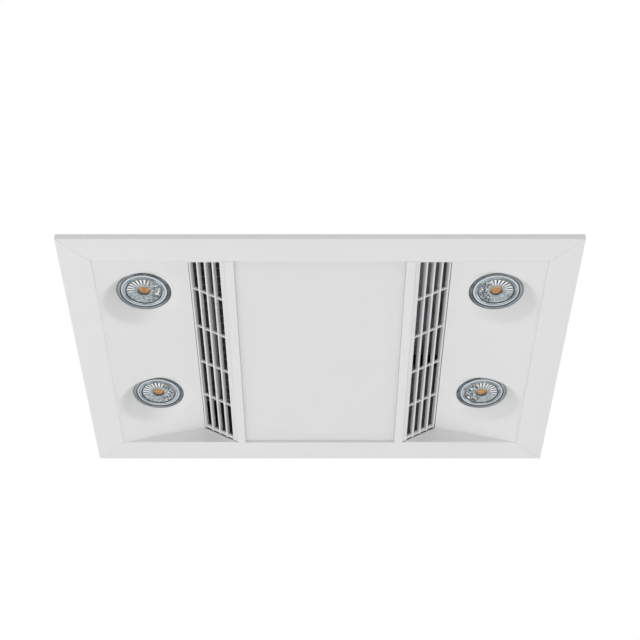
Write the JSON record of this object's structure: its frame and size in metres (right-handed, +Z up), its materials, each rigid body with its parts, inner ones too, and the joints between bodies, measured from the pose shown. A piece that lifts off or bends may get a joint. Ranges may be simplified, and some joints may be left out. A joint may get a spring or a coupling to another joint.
{
  "type": "bathroom ceiling heater",
  "caption": "Flush ceiling unit that heats, lights and extracts: white frame, sloping lamp panels, louvre grilles, recessed centre panel, steel housing with duct spigot.",
  "frame": {"origin": "middle of the ceiling opening, in the plane of the ceiling's underside", "axes": "+Z up into the ceiling, +X to the right and +Y away from the viewer, towards the duct spigot"},
  "size_m": [0.46, 0.3608, 0.2119],
  "materials": {
    "white_enamel": "satin white enamel, light orange peel",
    "white_plastic": "fine satin moulded",
    "zinc_steel": "zinc-coated sheet with faint spangle",
    "aluminium": "plain mill finish",
    "element_fins": "dark oxidised fins",
    "lamp_metal": "dark anodised rings",
    "lens": "clear faceted optic",
    "chip": "amber phosphor",
    "ceramic": "unglazed steatite",
    "black_plastic": "moulded, fine texture",
    "motor_steel": "dark motor paint",
    "brass": "sintered bush"
  },
  "bodies": {
    "housing": {"frame_rail_near": "white_enamel", "frame_rail_far": "white_enamel", "frame_rail_left": "white_enamel", "frame_rail_right": "white_enamel", "trim_bar_left": "white_enamel", "trim_bar_right": "white_enamel", "centre_panel": "white_enamel", "lamp_panel_left": "white_plastic", "lamp_panel_right": "white_plastic", "outlet_grille_left": "white_plastic", "intake_grille_right": "white_plastic", "lamp_bracket_left": "zinc_steel", "lamp_bracket_right": "zinc_steel", "housing_shell": "zinc_steel", "motor_screw_1": "zinc_steel", "motor_screw_2": "zinc_steel", "motor_screw_3": "zinc_steel", "exhaust_scroll": "zinc_steel", "exhaust_inlet_plate": "zinc_steel", "duct_spigot": "zinc_steel", "heater_casing": "zinc_steel", "terminal_cover": "zinc_steel", "element_frame": "black_plastic", "thermal_cutout": "black_plastic", "cable_gland": "black_plastic", "exhaust_motor": "motor_steel", "heater_motor": "motor_steel", "heater_bush": "brass", "heater_element": "element_fins", "terminal_block": "ceramic", "lamp_holder_near_left": "ceramic", "lamp_holder_near_right": "ceramic", "lamp_holder_far_left": "ceramic", "lamp_holder_far_right": "ceramic"},
    "lamp_near_left": {"lamp_body_near_left": "lamp_metal", "lamp_lens_near_left": "lens", "lamp_chip_near_left": "chip"},
    "screw_near_left": {"clamp_screw_near_left": "zinc_steel"},
    "dog_near_left": {"clamp_dog_near_left": "black_plastic"},
    "lamp_near_right": {"lamp_body_near_right": "lamp_metal", "lamp_lens_near_right": "lens", "lamp_chip_near_right": "chip"},
    "screw_near_right": {"clamp_screw_near_right": "zinc_steel"},
    "dog_near_right": {"clamp_dog_near_right": "black_plastic"},
    "lamp_far_left": {"lamp_body_far_left": "lamp_metal", "lamp_lens_far_left": "lens", "lamp_chip_far_left": "chip"},
    "screw_far_left": {"clamp_screw_far_left": "zinc_steel"},
    "dog_far_left": {"clamp_dog_far_left": "black_plastic"},
    "lamp_far_right": {"lamp_body_far_right": "lamp_metal", "lamp_lens_far_right": "lens", "lamp_chip_far_right": "chip"},
    "screw_far_right": {"clamp_screw_far_right": "zinc_steel"},
    "dog_far_right": {"clamp_dog_far_right": "black_plastic"},
    "exhaust_rotor": {"exhaust_impeller": "black_plastic", "exhaust_shaft": "zinc_steel"},
    "heater_rotor": {"heater_impeller": "aluminium", "heater_shaft": "zinc_steel"},
    "flap": {"draught_flap": "aluminium", "flap_pin": "zinc_steel"}
  },
  "joints": [
    {"name": "lamp_twist_near_left", "type": "hinge", "parent": "housing", "child": "lamp_near_left", "pos_m": [-0.1623, -0.0767, 0.03], "axis": [0, 0, 1], "range_deg": [0, 30]},
    {"name": "clamp_swing_near_left", "type": "hinge", "parent": "housing", "child": "screw_near_left", "pos_m": [-0.195, -0.136, 0.03], "axis": [0, 0, 1], "range_deg": [0, 90]},
    {"name": "clamp_travel_near_left", "type": "slide", "parent": "screw_near_left", "child": "dog_near_left", "axis": [0, 0, 1], "range_m": [-0.005, 0.018]},
    {"name": "lamp_twist_near_right", "type": "hinge", "parent": "housing", "child": "lamp_near_right", "pos_m": [0.1623, -0.0767, 0.03], "axis": [0, 0, 1], "range_deg": [0, 30]},
    {"name": "clamp_swing_near_right", "type": "hinge", "parent": "housing", "child": "screw_near_right", "pos_m": [0.195, -0.136, 0.03], "axis": [0, 0, 1], "range_deg": [-90, 0]},
    {"name": "clamp_travel_near_right", "type": "slide", "parent": "screw_near_right", "child": "dog_near_right", "axis": [0, 0, 1], "range_m": [-0.005, 0.018]},
    {"name": "lamp_twist_far_left", "type": "hinge", "parent": "housing", "child": "lamp_far_left", "pos_m": [-0.1623, 0.0767, 0.03], "axis": [0, 0, 1], "range_deg": [0, 30]},
    {"name": "clamp_swing_far_left", "type": "hinge", "parent": "housing", "child": "screw_far_left", "pos_m": [-0.195, 0.136, 0.03], "axis": [0, 0, 1], "range_deg": [-90, 0]},
    {"name": "clamp_travel_far_left", "type": "slide", "parent": "screw_far_left", "child": "dog_far_left", "axis": [0, 0, 1], "range_m": [-0.005, 0.018]},
    {"name": "lamp_twist_far_right", "type": "hinge", "parent": "housing", "child": "lamp_far_right", "pos_m": [0.1623, 0.0767, 0.03], "axis": [0, 0, 1], "range_deg": [0, 30]},
    {"name": "clamp_swing_far_right", "type": "hinge", "parent": "housing", "child": "screw_far_right", "pos_m": [0.195, 0.136, 0.03], "axis": [0, 0, 1], "range_deg": [0, 90]},
    {"name": "clamp_travel_far_right", "type": "slide", "parent": "screw_far_right", "child": "dog_far_right", "axis": [0, 0, 1], "range_m": [-0.005, 0.018]},
    {"name": "exhaust_spin", "type": "hinge", "parent": "housing", "child": "exhaust_rotor", "pos_m": [0.05202, -0.01, 0.17], "axis": [0, 0, 1], "continuous": true},
    {"name": "heater_spin", "type": "hinge", "parent": "housing", "child": "heater_rotor", "pos_m": [-0.084, 0, 0.11], "axis": [0, 1, 0], "continuous": true},
    {"name": "flap_swing", "type": "hinge", "parent": "housing", "child": "flap", "pos_m": [0.11708, 0.167, 0.154], "axis": [1, 0, 0], "range_deg": [0, 75]}
  ]
}
